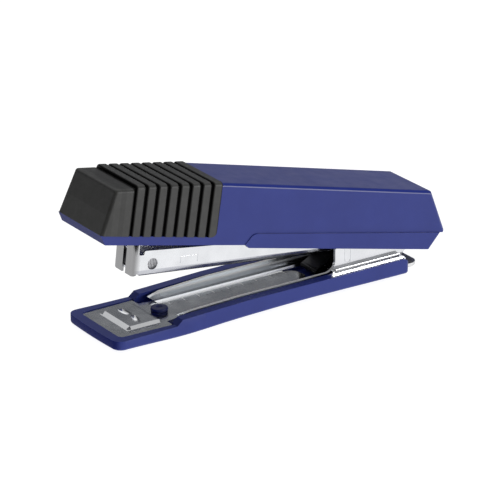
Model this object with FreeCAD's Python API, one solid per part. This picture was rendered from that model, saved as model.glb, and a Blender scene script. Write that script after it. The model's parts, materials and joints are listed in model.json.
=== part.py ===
"""Desk stapler for No. 10 staples: a plastic shoe carries a steel base channel, and a staple magazine
and a covered handle turn on one pin between the channel's ears.

Millimetres. The nose points to -X, +Z is up, Y = 0 is the plane of symmetry, and the origin is at the
middle of the shoe's flat underside. Base pieces are drawn level. Magazine pieces are drawn in a frame
(u, y, w) whose origin is the pivot axis, with u to the rear and w up, and handle pieces in a second such
frame; each is then pitched about the pivot to its place at rest.
"""
import FreeCAD
import Part
import math
import os

from FreeCAD import Vector

# ---- driving dimensions -------------------------------------------------------------------------
STAPLE_WIDTH = 9.3
STAPLE_HEIGHT = 5.0
STAPLE_WIRE = 0.45
STRIP_LENGTH = 25.5

# shoe
SHOE_LENGTH = 101.8
SHOE_HALF_FRONT = 13.7
SHOE_HALF = 12.95
SHOE_FLOOR = 1.8
SHOE_FRONT_BOW = 0.5
SHOE_CORNER_X = 0.45
SHOE_TAPER_END = 30.0
SOLE_DROP = 0.61
SOLE_INSET = 3.4
RIM_LOW = 2.95
RIM_DIP = 4.5
RIM_HIGH = 5.2
RIM_STEP_START = 20.6
RIM_STEP_END = 22.4
RIM_INNER = 9.95
WELL_FRONT = 3.1
WELL_HALF_FRONT = 10.6
WELL_HALF = 11.1
LOWER_EDGE = ((-2.0, 0.05), (12.0, -0.30), (25.0, -0.59), (35.0, -0.16), (48.5, 0.27),
              (62.5, 0.49), (80.0, 0.41), (104.0, 0.25))

# steel base
PLATE = 0.9
PLATE_TOP = SHOE_FLOOR + PLATE
CHANNEL_HALF = 9.55
CHANNEL_BEND = 4.3
FLANGE_FRONT = 25.4
FLANGE_TOP = 5.35
EAR_FRONT = 77.3
EAR_REAR = 104.4
EAR_CORNER = 3.4
EAR_CROWN = 4.9
FOOT_HALF = 12.3
FOOT_TOP = 5.3
FOOT_THICK = 0.7
FOOT_REAR = 100.8
WINDOW_FRONT = 68.4
WINDOW_REAR = 88.5
WINDOW_HALF = 5.0
FLOOR_END = 72.3
FLOOR_END_HALF = 4.1
ANVIL_FRONT = 7.5
ANVIL_REAR = 18.5
ANVIL_HALF = 7.35
ANVIL_RISE = 0.95
ANVIL_SLOPE_FRONT = 1.3
ANVIL_SLOPE_SIDE = 0.65
POCKET_X = 13.0
POCKET_BOW = 4.4
POCKET_BORE = 1.15
POCKET_DEPTH = 0.75
POCKET_Y = 2.85
POCKET_SKEW = 9.0
STUD_X = 22.3
STUD_Y = -0.8
REMOVER_REAR = 106.3
REMOVER_HALF = 11.6
REMOVER_TOP = PLATE_TOP
REMOVER_UNDER = 1.3
REMOVER_ROOT_HALF = 9.4
SPRING_SHEET = 0.4
SPRING_HALF = 3.8
SPRING_BEND_X = 75.2
SPRING_BEND_R = 0.9
SPRING_TOUCH = 84.4
RIVET_XS = (92.0, 97.5)

# pivot
PIVOT_X = 99.5
PIVOT_Z = 11.3
PIN_R = 1.9
PIN_CLEARANCE = 0.05

# magazine, about the pivot
MAGAZINE_PITCH = 6.6
MAGAZINE_HALF = 5.35
MAGAZINE_SHEET = 0.6
MAGAZINE_FRONT = -88.6
MAGAZINE_REAR = 4.3
MAGAZINE_TOP_FRONT = 3.4
MAGAZINE_TOP = 2.55
MAGAZINE_BOTTOM = -4.04
MAGAZINE_CORNER = 1.2
PRONG_BOTTOM = -4.2
PRONG_TOP = 6.0
PRONG_GAP = 0.8
NOTCH_FRONT = -87.3
NOTCH_REAR = -85.6
NOTCH_LOW = 2.2
SIGHT_HOLE_U = -82.6
SIGHT_HOLE_W = -0.7
SIGHT_HOLE_R = 1.68
FLOOR_TOP = MAGAZINE_BOTTOM + MAGAZINE_SHEET
WALL_INNER = MAGAZINE_HALF - MAGAZINE_SHEET
DRIVE_SLOT_REAR = -86.3
STRIP_REAR = DRIVE_SLOT_REAR + STRIP_LENGTH
CROWN_TOP = FLOOR_TOP + 0.15 + STAPLE_HEIGHT
RAIL_TOP = CROWN_TOP - STAPLE_WIRE - 0.1
RAIL_HALF = STAPLE_WIDTH / 2 - STAPLE_WIRE - 0.1
RAIL_SHEET = 0.6
RAIL_SLOT_HALF = 0.9
RAIL_REAR = -13.7
BRACKET_U = -13.5
BRACKET_RIVET_U = -9.6
BRACKET_RIVET_YS = (-2.2, 2.2)
ROD_R = 0.7
ROD_W = -1.35
PUSHER_FRONT = STRIP_REAR + 0.1
PUSHER_LENGTH = 7.5

# handle, about the pivot
HANDLE_PITCH = 13.1
COVER_NOSE = -105.1
COVER_WALL = 1.1
COVER_BOTTOM = -2.8
COVER_HALF_BOTTOM = 11.45
COVER_HALF_TOP = 10.5
COVER_TOP_LINE = ((-66.3, 15.35), (8.9, 14.35))
COVER_TAIL = (16.1, 3.1)
SECTION_HEIGHT = 15.0
GRIP_END = -66.35
GRIP_WALL = 1.1
GRIP_BOTTOM = -0.2
GRIP_PROUD = 0.3
GRIP_CORE_INSET = 0.6
RIB_COUNT = 8
RIB_PITCH = 3.68
RIB_LEAN = -0.04
RIB_EDGE = 0.5
GROOVE_START = -95.55
GROOVE_HALF = 0.42
RIB_TOP_FRONT = (-95.9, 14.2)
RIB_TOP_REAR = (-66.3, 15.75)
NOSE_TOP = (-102.5, 12.85)
NOSE_TOP_REAR = (-95.55, 13.2)
SKIRT_HALF = 11.65
SKIRT_FRONT = -56.0
SKIRT_BOTTOM = -3.2
SKIRT_TAIL = 14.6
SKIRT_WALL = 1.2
FRAME_HALF = 8.3
FRAME_TOP = 10.4
FRAME_SHEET = 0.9
FRAME_FRONT = -86.6
FRAME_RIVETS = ((-82.5, -2.4), (-82.5, 2.4), (-50.0, 0.0))
POST_US = (-44.0, -10.0)
DRIVE_RADIUS = 87.25
BLADE_SHEET = 0.5

Y_AXIS = Vector(0, 1, 0)
ORIGIN = Vector(0, 0, 0)


# ---- building blocks ----------------------------------------------------------------------------
def block(x0, x1, y0, y1, z0, z1):
    """Box between two corners."""
    return Part.makeBox(x1 - x0, y1 - y0, z1 - z0, Vector(x0, y0, z0))


def closed_face(vectors):
    """Flat face with straight sides through these corners."""
    return Part.Face(Part.makePolygon(vectors + [vectors[0]]))


def side_prism(points, half, offset=0.0):
    """Outline given in the (x, z) plane, drawn out to y = offset - half ... offset + half."""
    face = closed_face([Vector(x, offset - half, z) for x, z in points])
    return face.extrude(Vector(0, 2 * half, 0))


def section_prism(points, x0, x1):
    """Outline given in the (y, z) plane, drawn out along x."""
    return closed_face([Vector(x0, y, z) for y, z in points]).extrude(Vector(x1 - x0, 0, 0))


def plan_prism(points, z0, z1):
    """Outline given in the (x, y) plane, drawn out upward."""
    return closed_face([Vector(x, y, z0) for x, y in points]).extrude(Vector(0, 0, z1 - z0))


def mirrored(points):
    """Half an outline on the +y side, in (y, z), completed by its mirror image."""
    return points + [(-y, z) for y, z in reversed(points)]


def mirrored_plan(points):
    """Half an outline on the +y side, in (x, y), completed by its mirror image."""
    return points + [(x, -y) for x, y in reversed(points)]


def rod_y(radius, x, z, y0, y1):
    """Cylinder along Y."""
    return Part.makeCylinder(radius, y1 - y0, Vector(x, y0, z), Y_AXIS)


def rod_x(radius, x0, x1, y, z):
    """Cylinder along X."""
    return Part.makeCylinder(radius, x1 - x0, Vector(x0, y, z), Vector(1, 0, 0))


def rod_z(radius, x, y, z0, z1):
    """Cylinder along Z."""
    return Part.makeCylinder(radius, z1 - z0, Vector(x, y, z0), Vector(0, 0, 1))


def fuse(*shapes):
    """One solid from pieces that touch."""
    return shapes[0].multiFuse(list(shapes[1:])).removeSplitter()


def both_sides(shape):
    """The shape and its mirror image across Y = 0."""
    return [shape, shape.mirror(ORIGIN, Y_AXIS)]


def picked_edges(shape, test):
    """Edges whose middle point and direction pass the test."""
    chosen = []
    for edge in shape.Edges:
        middle = edge.valueAt((edge.FirstParameter + edge.LastParameter) / 2)
        start = edge.Vertexes[0].Point
        end = edge.Vertexes[-1].Point
        if test(middle, end.sub(start)):
            chosen.append(edge)
    return chosen


def rounded(shape, radius, test):
    """The shape with the picked edges rounded."""
    return shape.makeFillet(radius, picked_edges(shape, test))


def along(direction, axis, share=0.98):
    """True when a direction runs mostly along one axis (0, 1 or 2)."""
    return abs(direction[axis]) > share * direction.Length > 0


def pitched(shape, angle):
    """From a frame centred on the pivot axis to the stapler's frame, nose raised by the angle."""
    placed = shape.copy()
    placed.rotate(ORIGIN, Y_AXIS, angle)
    placed.translate(Vector(PIVOT_X, 0, PIVOT_Z))
    return placed


# ---- base ---------------------------------------------------------------------------------------
def shoe_plan(z0, z1, inset=0.0):
    """The shoe's outline seen from above: a bowed front edge, sides easing to straight, round corners."""
    front = SHOE_HALF_FRONT - inset
    side = SHOE_HALF - inset
    rear = SHOE_LENGTH - inset
    nose = inset + SHOE_CORNER_X
    middle = Vector((nose + SHOE_TAPER_END) / 2, side + (front - side) / 4, z0)
    left_front = Vector(nose, front, z0)
    left_taper = Vector(SHOE_TAPER_END, side, z0)
    left_rear = Vector(rear, side, z0)
    right_front, right_middle, right_taper, right_rear = [
        Vector(point.x, -point.y, z0) for point in (left_front, middle, left_taper, left_rear)]
    bow = Vector(nose - SHOE_FRONT_BOW, 0, z0)
    edges = [Part.Arc(right_front, right_middle, right_taper).toShape(),
             Part.makeLine(right_taper, right_rear),
             Part.makeLine(right_rear, left_rear),
             Part.makeLine(left_rear, left_taper),
             Part.Arc(left_taper, middle, left_front).toShape(),
             Part.Arc(left_front, bow, right_front).toShape()]
    solid = Part.Face(Part.Wire(edges)).extrude(Vector(0, 0, z1 - z0))
    solid = rounded(solid, 3.0, lambda m, d: along(d, 2) and m.x < nose + 1)
    return rounded(solid, 1.2, lambda m, d: along(d, 2) and m.x > rear - 1)


def shoe_wall_body():
    """The shoe's outer form under a flat top: its lower edge dips behind the anvil and is rounded."""
    curve = Part.BSplineCurve()
    curve.interpolate([Vector(x, -20, z) for x, z in LOWER_EDGE])
    first, last = LOWER_EDGE[0], LOWER_EDGE[-1]
    top_front = Vector(first[0], -20, RIM_HIGH)
    top_rear = Vector(last[0], -20, RIM_HIGH)
    face = Part.Face(Part.Wire([
        curve.toShape(), Part.makeLine(Vector(last[0], -20, last[1]), top_rear),
        Part.makeLine(top_rear, top_front), Part.makeLine(top_front, Vector(first[0], -20, first[1]))]))
    body = shoe_plan(-2, RIM_HIGH).common(face.extrude(Vector(0, 40, 0)))
    return rounded(body, 0.9, lambda m, d: m.z < 0.7 and not along(d, 2, 0.5))


def base_shoe():
    """Moulded shoe: a shallow tray whose rim steps up behind the anvil, on a flat inset sole."""
    profile = [(-2, -3), (SHOE_LENGTH + 1, -3), (SHOE_LENGTH + 1, RIM_HIGH - 2.0),
               (SHOE_LENGTH - 1.7, RIM_HIGH), (45.0, RIM_HIGH), (RIM_STEP_END, RIM_DIP),
               (RIM_STEP_START, RIM_LOW), (-2, RIM_LOW)]
    shoe = shoe_wall_body().common(side_prism(profile, SHOE_HALF_FRONT + 1))
    shoe = shoe.fuse(shoe_plan(-SOLE_DROP, SHOE_FLOOR - 0.2, SOLE_INSET))
    well = plan_prism([(WELL_FRONT, -WELL_HALF_FRONT), (RIM_STEP_START, -WELL_HALF),
                       (RIM_STEP_START, WELL_HALF), (WELL_FRONT, WELL_HALF_FRONT)],
                      SHOE_FLOOR, RIM_HIGH + 1)
    well = rounded(well, 1.6, lambda m, d: along(d, 2) and m.x < WELL_FRONT + 1)
    trough = block(RIM_STEP_START - 1, SHOE_LENGTH + 1, -RIM_INNER, RIM_INNER, SHOE_FLOOR, RIM_HIGH + 1)
    slot = block(99.9, SHOE_LENGTH + 1, -REMOVER_ROOT_HALF, REMOVER_ROOT_HALF, REMOVER_UNDER,
                 RIM_HIGH)
    shoe = shoe.cut(well).cut(trough).cut(slot)
    for side in both_sides(foot_plan(FOOT_TOP - FOOT_THICK, RIM_HIGH + 1, 0.1)):
        shoe = shoe.cut(side)
    return shoe.cut(rod_z(1.6, STUD_X, STUD_Y, 0.8, SHOE_FLOOR + 1))


def channel_section(inset):
    """Half the base channel's outline, from its lip down to the middle, set in by an inset."""
    half = CHANNEL_HALF - inset
    bend = CHANNEL_BEND + PLATE - inset
    bottom = SHOE_FLOOR + inset
    points = [(half, 30.0)]
    for step in range(9):
        turn = math.radians(90 * step / 8)
        points.append((half - bend + bend * math.cos(turn), bottom + bend - bend * math.sin(turn)))
    return points


def ear_outline():
    """Side view of the channel's flange and ear, front to rear, as a face in the (x, z) plane."""
    root_half = math.sqrt(0.5)
    tip = Vector(FLANGE_FRONT - 1.4, 0, 3.8)
    flange_start = Vector(FLANGE_FRONT + 2.6, 0, 4.62)
    flange_high = Vector(45.0, 0, FLANGE_TOP)
    bend_start = Vector(EAR_FRONT - EAR_CORNER, 0, FLANGE_TOP)
    bend_end = Vector(EAR_FRONT, 0, FLANGE_TOP + EAR_CORNER)
    corner = EAR_CORNER * (1 - root_half)
    bend_middle = Vector(EAR_FRONT - corner, 0, FLANGE_TOP + corner)
    front_top = Vector(EAR_FRONT, 0, 12.2)
    shoulder = Vector(EAR_FRONT + 5.0, 0, PIVOT_Z + EAR_CROWN)
    crown = Vector(PIVOT_X, 0, PIVOT_Z + EAR_CROWN)
    crown_middle = Vector(PIVOT_X + EAR_CROWN * root_half, 0, PIVOT_Z + EAR_CROWN * root_half)
    rear = Vector(EAR_REAR, 0, PIVOT_Z)
    rear_low = Vector(EAR_REAR, 0, 8.2)
    heel = Vector(101.4, 0, 5.4)
    floor_rear = Vector(101.4, 0, 0)
    floor_front = Vector(FLANGE_FRONT, 0, 0)
    edges = [
        Part.makeLine(floor_front, Vector(FLANGE_FRONT, 0, PLATE_TOP)),
        Part.makeLine(Vector(FLANGE_FRONT, 0, PLATE_TOP), tip),
        Part.makeLine(tip, flange_start),
        Part.makeLine(flange_start, flange_high),
        Part.makeLine(flange_high, bend_start),
        Part.Arc(bend_start, bend_middle, bend_end).toShape(),
        Part.makeLine(bend_end, front_top),
        Part.makeLine(front_top, shoulder),
        Part.makeLine(shoulder, crown),
        Part.Arc(crown, crown_middle, rear).toShape(),
        Part.makeLine(rear, rear_low),
        Part.makeLine(rear_low, heel),
        Part.makeLine(heel, floor_rear),
        Part.makeLine(floor_rear, floor_front),
    ]
    return Part.Face(Part.Wire(edges))


def base_channel():
    """Floor, leaning flanges and ears, folded from one sheet."""
    outer = section_prism(mirrored(channel_section(0)), RIM_STEP_START, EAR_REAR + 1)
    inner = section_prism(mirrored(channel_section(PLATE)), 0, EAR_REAR + 2)
    folded = outer.cut(inner)
    outline = ear_outline().extrude(Vector(0, 40, 0))
    outline.translate(Vector(0, -20, 0))
    neck = mirrored_plan([(RIM_STEP_START - 1, 7.7), (RIM_STEP_START, 7.7), (24.2, 7.0),
                          (FLANGE_FRONT + 0.1, 7.0)])
    return folded.common(outline).fuse(plan_prism(neck, SHOE_FLOOR, PLATE_TOP))


def foot_plan(z0, z1, room):
    """Plan of one ledge, on the +y side, its front end cut on the slant; room is added all round."""
    front = EAR_FRONT - 0.2 - room
    rear = FOOT_REAR + room
    inner = CHANNEL_HALF - 0.75
    outer = FOOT_HALF + room
    return plan_prism([(front, inner), (rear, inner), (rear, outer), (front - 2.7, outer)], z0, z1)


def foot():
    """Ledge folded outward from the ear's root, lying flush in the shoe's rim, with one pressed line."""
    front = EAR_FRONT - 0.2
    ledge = foot_plan(FOOT_TOP - FOOT_THICK, FOOT_TOP, 0.0)
    radius = 0.6
    fillet = block(front + 0.4, FOOT_REAR, CHANNEL_HALF - 0.6, CHANNEL_HALF + radius, FOOT_TOP,
                   FOOT_TOP + radius)
    fillet = fillet.cut(rod_x(radius, front, FOOT_REAR + 1, CHANNEL_HALF + radius, FOOT_TOP + radius))
    line = block(front - 4, FOOT_REAR + 1, 10.2, 10.4, FOOT_TOP - 0.3, FOOT_TOP + 1)
    return ledge.fuse(fillet).cut(line)


def scale_marks():
    """Shallow ruled marks on the channel floor, every other one long."""
    marks = []
    depth = 0.12
    for index in range(17):
        x = 28.0 + 2.5 * index
        length = 2.2 if index % 2 == 0 else 1.1
        marks.append(block(x, x + 0.22, 2.6 - length, 2.6, PLATE_TOP - depth, PLATE_TOP + 1))
    return marks


def ear_beads():
    """A shallow upright U pressed into the outside of each ear, with its legs upward."""
    depth = 0.1
    width = 0.3
    left, right, low = 80.4, 82.8, 7.05
    outer = CHANNEL_HALF + 1
    inner = CHANNEL_HALF - depth
    radius = (right - left) / 2
    middle = (right + left) / 2
    bead = rod_y(radius, middle, low + radius, inner, outer)
    bead = bead.fuse(block(left, right, inner, outer, low + radius, 13.4))
    land = rod_y(radius - width, middle, low + radius, inner - 1, outer + 1)
    land = land.fuse(block(left + width, right - width, inner - 1, outer + 1, low + radius, 20))
    return bead.cut(land)


def floor_window():
    """Opening under the leaf spring; the channel floor ends in front of it in a rounded tongue."""
    window = block(WINDOW_FRONT, WINDOW_REAR, -WINDOW_HALF, WINDOW_HALF, SHOE_FLOOR - 0.1, PLATE_TOP + 0.6)
    tongue = block(WINDOW_FRONT - 5, FLOOR_END, -FLOOR_END_HALF, FLOOR_END_HALF, 0, PLATE_TOP + 1)
    tongue = rounded(tongue, 3.5, lambda m, d: along(d, 2) and m.x > FLOOR_END - 0.01)
    return window.cut(tongue)


def base_plate():
    """Steel base: wide front spoon, channel with ears, ledges and ruled marks."""
    spoon_rear = RIM_STEP_START - 0.1
    edge = 0.1
    spoon = plan_prism([(WELL_FRONT + edge, edge - WELL_HALF_FRONT), (spoon_rear, edge - WELL_HALF),
                        (spoon_rear, WELL_HALF - edge), (WELL_FRONT + edge, WELL_HALF_FRONT - edge)],
                       SHOE_FLOOR, PLATE_TOP)
    spoon = rounded(spoon, 1.5, lambda m, d: along(d, 2) and m.x < WELL_FRONT + 1)
    plate = spoon.fuse(base_channel())
    for side in both_sides(foot()):
        plate = plate.fuse(side)
    for side in both_sides(ear_beads()):
        plate = plate.cut(side)
    for mark in scale_marks():
        plate = plate.cut(mark)
    plate = plate.cut(rod_z(1.8, STUD_X, STUD_Y, 0, PLATE_TOP + 1))
    plate = plate.cut(rod_y(PIN_R, PIVOT_X, PIVOT_Z, -20, 20))
    for x in RIVET_XS:
        plate = plate.cut(rod_z(1.0, x, 0, 0, PLATE_TOP + 1))
    plate = plate.cut(floor_window())
    slit = block(ANVIL_REAR + 0.15, ANVIL_REAR + 0.55, -7.4, 7.4, 2.2, PLATE_TOP + 1)
    return plate.cut(slit).removeSplitter()


def anvil_plate():
    """Raised clinching pad: sloped front and sides, relieved corners, two curved pockets for the legs."""
    top = PLATE_TOP + ANVIL_RISE
    crest_front = ANVIL_FRONT + ANVIL_SLOPE_FRONT
    profile = [(ANVIL_FRONT, PLATE_TOP), (ANVIL_REAR, PLATE_TOP), (ANVIL_REAR, top - 0.15),
               (ANVIL_REAR - 0.8, top), (crest_front, top)]
    section = mirrored([(ANVIL_HALF, PLATE_TOP), (ANVIL_HALF - ANVIL_SLOPE_SIDE, top)])
    pad = side_prism(profile, ANVIL_HALF + 1).common(section_prism(section, 0, 30))
    relief = [(ANVIL_FRONT - 1, ANVIL_HALF + 1), (ANVIL_FRONT - 1, ANVIL_HALF - 1.1),
              (ANVIL_FRONT + 0.1, ANVIL_HALF - 1.1), (crest_front, ANVIL_HALF - ANVIL_SLOPE_SIDE - 0.1),
              (ANVIL_FRONT + 1.3, ANVIL_HALF - 0.1), (ANVIL_FRONT + 1.3, ANVIL_HALF + 1)]
    for side in both_sides(plan_prism(relief, PLATE_TOP + 0.15, top + 1)):
        pad = pad.cut(side)
    for side in (-1, 1):
        pocket = Part.makeTorus(POCKET_BOW, POCKET_BORE, ORIGIN, Vector(1, 0, 0))
        pocket.rotate(ORIGIN, Vector(0, 0, 1), POCKET_SKEW * side)
        pocket.translate(Vector(POCKET_X, side * POCKET_Y, top - POCKET_DEPTH + POCKET_BOW + POCKET_BORE))
        pad = pad.cut(pocket)
    return pad


def shoe_stud():
    """Snap stud that holds the steel base down in the shoe."""
    shank = rod_z(1.6, STUD_X, STUD_Y, 0.8, PLATE_TOP)
    lower = rod_z(2.45, STUD_X, STUD_Y, PLATE_TOP, PLATE_TOP + 0.45)
    neck = rod_z(1.95, STUD_X, STUD_Y, PLATE_TOP + 0.45, PLATE_TOP + 0.8)
    head = rod_z(2.5, STUD_X, STUD_Y, PLATE_TOP + 0.8, PLATE_TOP + 1.65)
    head = rounded(head, 0.4, lambda m, d: m.z > PLATE_TOP + 1.6)
    stud = fuse(shank, lower, neck, head)
    dimple = Part.makeSphere(1.3, Vector(STUD_X, STUD_Y, PLATE_TOP + 1.65 + 0.85), Y_AXIS)
    return stud.cut(dimple)


def staple_remover():
    """Flat steel tongue that sticks out behind the shoe, for lifting used staples."""
    root = block(100.0, SHOE_LENGTH + 1, -REMOVER_ROOT_HALF, REMOVER_ROOT_HALF, REMOVER_UNDER, SHOE_FLOOR)
    outer = SHOE_LENGTH + 0.1
    tongue = plan_prism([(outer, -REMOVER_HALF), (REMOVER_REAR, -REMOVER_HALF),
                         (REMOVER_REAR, REMOVER_HALF), (outer, REMOVER_HALF)],
                        REMOVER_UNDER, REMOVER_TOP)
    tongue = rounded(tongue, 3.0, lambda m, d: along(d, 2) and m.x > REMOVER_REAR - 1)
    under = picked_edges(tongue, lambda m, d: m.z < REMOVER_UNDER + 0.01 and m.x > outer + 0.1)
    return fuse(tongue.makeChamfer(0.5, under), root)


def base_rivets():
    """Two rivets that hold the lift spring to the channel floor."""
    solids = []
    for x in RIVET_XS:
        head = rod_z(1.9, x, 0, PLATE_TOP + SPRING_SHEET, PLATE_TOP + SPRING_SHEET + 0.6)
        head = rounded(head, 0.4, lambda m, d: m.z > PLATE_TOP + SPRING_SHEET + 0.5)
        solids.append(rod_z(1.0, x, 0, SHOE_FLOOR, PLATE_TOP + SPRING_SHEET + 0.1).fuse(head))
    return Part.makeCompound(solids)


def lift_spring():
    """Leaf that holds the magazine up: riveted at the rear, folded back on itself over the window."""
    touch = magazine_underside(SPRING_TOUCH) - SPRING_SHEET - 0.1
    middle = PLATE_TOP + SPRING_BEND_R
    upper_low = middle + SPRING_BEND_R - SPRING_SHEET
    lower = block(SPRING_BEND_X, 99.4, -SPRING_HALF, SPRING_HALF, PLATE_TOP, PLATE_TOP + SPRING_SHEET)
    ring = rod_y(SPRING_BEND_R, SPRING_BEND_X, middle, -SPRING_HALF, SPRING_HALF)
    ring = ring.cut(rod_y(SPRING_BEND_R - SPRING_SHEET, SPRING_BEND_X, middle, -9, 9))
    bend = ring.common(block(SPRING_BEND_X - 2, SPRING_BEND_X, -9, 9, 0, 9))
    line = [(SPRING_BEND_X, upper_low), (SPRING_TOUCH - 1.6, touch - 0.3), (SPRING_TOUCH, touch),
            (SPRING_TOUCH + 1.0, touch - 0.3)]
    upper = side_prism(line + [(x, z + SPRING_SHEET) for x, z in reversed(line)], SPRING_HALF)
    leaf = fuse(lower, bend, upper)
    for x in RIVET_XS:
        leaf = leaf.cut(rod_z(1.0, x, 0, 0, PLATE_TOP + 1))
    return leaf


def magazine_underside(x):
    """Height of the magazine's underside at rest above this x."""
    turn = math.radians(MAGAZINE_PITCH)
    u = (x - PIVOT_X - MAGAZINE_BOTTOM * math.sin(turn)) / math.cos(turn)
    return PIVOT_Z - u * math.sin(turn) + MAGAZINE_BOTTOM * math.cos(turn)


def pivot_pin():
    """Pin through both ears, with thin formed heads."""
    reach = CHANNEL_HALF + 0.3
    pin = rod_y(PIN_R, PIVOT_X, PIVOT_Z, -reach, reach)
    for side in both_sides(rod_y(2.8, PIVOT_X, PIVOT_Z, CHANNEL_HALF, reach)):
        pin = pin.fuse(side)
    return rounded(pin.removeSplitter(), 0.2, lambda m, d: abs(m.y) > reach - 0.01)


def pivot_spacers():
    """Two bushes on the pin that keep the magazine central."""
    ring = rod_y(3.0, PIVOT_X, PIVOT_Z, MAGAZINE_HALF + 0.1, FRAME_HALF - 1.0)
    ring = ring.cut(rod_y(PIN_R, PIVOT_X, PIVOT_Z, 0, 20))
    return Part.makeCompound(both_sides(ring))


# ---- magazine (drawn about the pivot) -----------------------------------------------------------
def icon(side):
    """A small plain staple outline pressed into one magazine wall."""
    left, right, low, high, line, depth = -73.4, -67.4, -1.4, 0.7, 0.26, 0.1
    y0, y1 = sorted((side * (MAGAZINE_HALF - depth), side * (MAGAZINE_HALF + 1)))
    bar = block(left, right, y0, y1, high - line, high)
    legs = block(left, left + line, y0, y1, low, high).fuse(block(right - line, right, y0, y1, low, high))
    return bar.fuse(legs)


def magazine_walls():
    """Side view of the magazine: square front, top notch behind the prongs, round rear end."""
    wall = side_prism([(MAGAZINE_FRONT, MAGAZINE_BOTTOM), (0, MAGAZINE_BOTTOM), (MAGAZINE_REAR, -1.2),
                       (MAGAZINE_REAR, MAGAZINE_TOP), (-60.0, MAGAZINE_TOP),
                       (NOTCH_REAR, MAGAZINE_TOP_FRONT), (NOTCH_REAR, NOTCH_LOW),
                       (NOTCH_FRONT, NOTCH_LOW), (NOTCH_FRONT, PRONG_TOP),
                       (MAGAZINE_FRONT, PRONG_TOP)], 20)
    wall = rounded(wall, 0.45, lambda m, d: along(d, 1) and NOTCH_FRONT - 0.1 < m.x < NOTCH_REAR + 0.1
                   and m.z < PRONG_TOP - 0.1)
    return rounded(wall, 2.0, lambda m, d: along(d, 1) and m.x > MAGAZINE_REAR - 0.01)


def at_front_corner(middle, direction):
    """True for the upright edges where the magazine's front meets its walls."""
    return (middle.x < MAGAZINE_FRONT + 1 and abs(middle.y) > WALL_INNER - 0.5
            and along(direction, 2, 0.9))


def magazine_tube():
    """The folded sheet before it is trimmed: floor, walls and front, bent round the front corners."""
    fold = -2.4
    tuck = 0.25
    outer = section_prism(mirrored([(MAGAZINE_HALF, 9), (MAGAZINE_HALF, fold),
                                    (MAGAZINE_HALF - tuck, -3.6),
                                    (MAGAZINE_HALF - tuck - 0.44, MAGAZINE_BOTTOM)]),
                          MAGAZINE_FRONT, 10)
    outer = rounded(outer, MAGAZINE_CORNER, lambda m, d: at_front_corner(m, d) and m.z > fold)
    inner = section_prism(mirrored([(WALL_INNER, 10), (WALL_INNER, FLOOR_TOP)]),
                          MAGAZINE_FRONT + MAGAZINE_SHEET, 11)
    inner = rounded(inner, MAGAZINE_CORNER - MAGAZINE_SHEET, at_front_corner)
    return outer.cut(inner)


def magazine_channel():
    """Folded steel magazine: floor, walls with a pressed fold line, and two front prongs."""
    front_inside = MAGAZINE_FRONT + MAGAZINE_SHEET
    drive_slot = block(front_inside, DRIVE_SLOT_REAR, -WALL_INNER, WALL_INNER, -9, FLOOR_TOP)
    lip = block(MAGAZINE_FRONT, front_inside, -4.1, 4.1, PRONG_BOTTOM, MAGAZINE_BOTTOM + 1)
    magazine = magazine_tube().cut(drive_slot).common(magazine_walls()).fuse(lip)
    nick = side_prism([(-87.9, -4.6), (-87.5, -3.3), (-86.3, -4.1), (-86.2, -4.6)], 20)
    for side in both_sides(block(-90, -80, 3.9, 9, -6, 0)):
        magazine = magazine.cut(nick.common(side))
    gap = block(-100, front_inside + 0.01, -PRONG_GAP, PRONG_GAP, -9, 9)
    magazine = magazine.cut(gap)
    magazine = magazine.cut(rod_y(SIGHT_HOLE_R, SIGHT_HOLE_U, SIGHT_HOLE_W, -9, 9))
    magazine = magazine.cut(rod_y(PIN_R + PIN_CLEARANCE, 0, 0, -9, 9))
    for side in (-1, 1):
        magazine = magazine.cut(icon(side))
    for y in BRACKET_RIVET_YS:
        magazine = magazine.cut(rod_z(0.8, BRACKET_RIVET_U, y, -9, 0))
    return magazine.removeSplitter()


def saddle_section(half, top, sheet, foot_w):
    """Inverted U in the (y, w) plane."""
    return [(half, foot_w), (half, top), (-half, top), (-half, foot_w), (-half + sheet, foot_w),
            (-half + sheet, top - sheet), (half - sheet, top - sheet), (half - sheet, foot_w)]


def staple_rail():
    """Inverted U core that the staples straddle, slotted along its top and closed at its nose."""
    section = saddle_section(RAIL_HALF, RAIL_TOP, RAIL_SHEET, FLOOR_TOP)
    rail = section_prism(section, DRIVE_SLOT_REAR, RAIL_REAR)
    nose = block(DRIVE_SLOT_REAR, DRIVE_SLOT_REAR + 0.8, -RAIL_HALF, RAIL_HALF, FLOOR_TOP + 0.6, RAIL_TOP)
    slot = block(DRIVE_SLOT_REAR + 20, RAIL_REAR - 3, -RAIL_SLOT_HALF, RAIL_SLOT_HALF, RAIL_TOP - 1,
                 RAIL_TOP + 1)
    return fuse(rail, nose).cut(slot)


def staple_strip():
    """A glued strip of staples standing astride the rail."""
    section = saddle_section(STAPLE_WIDTH / 2, CROWN_TOP, STAPLE_WIRE, FLOOR_TOP + 0.15)
    return section_prism(section, DRIVE_SLOT_REAR, STRIP_REAR)


def guide_rod():
    """Thin rod inside the rail that carries the pusher's spring."""
    return rod_x(ROD_R, DRIVE_SLOT_REAR + 0.8, BRACKET_U + 2.0, 0, ROD_W)


def rod_bracket():
    """Bent steel bracket that closes the rail's rear and holds the rod."""
    upright = block(BRACKET_U, BRACKET_U + 1.2, -4.4, 4.4, FLOOR_TOP, 2.6)
    foot_plate = block(BRACKET_U, -7.6, -4.4, 4.4, FLOOR_TOP, FLOOR_TOP + 0.8)
    bracket = fuse(upright, foot_plate).cut(rod_x(ROD_R, -20, 0, 0, ROD_W))
    for y in BRACKET_RIVET_YS:
        bracket = bracket.cut(rod_z(0.8, BRACKET_RIVET_U, y, -9, 0))
    return bracket


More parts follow.
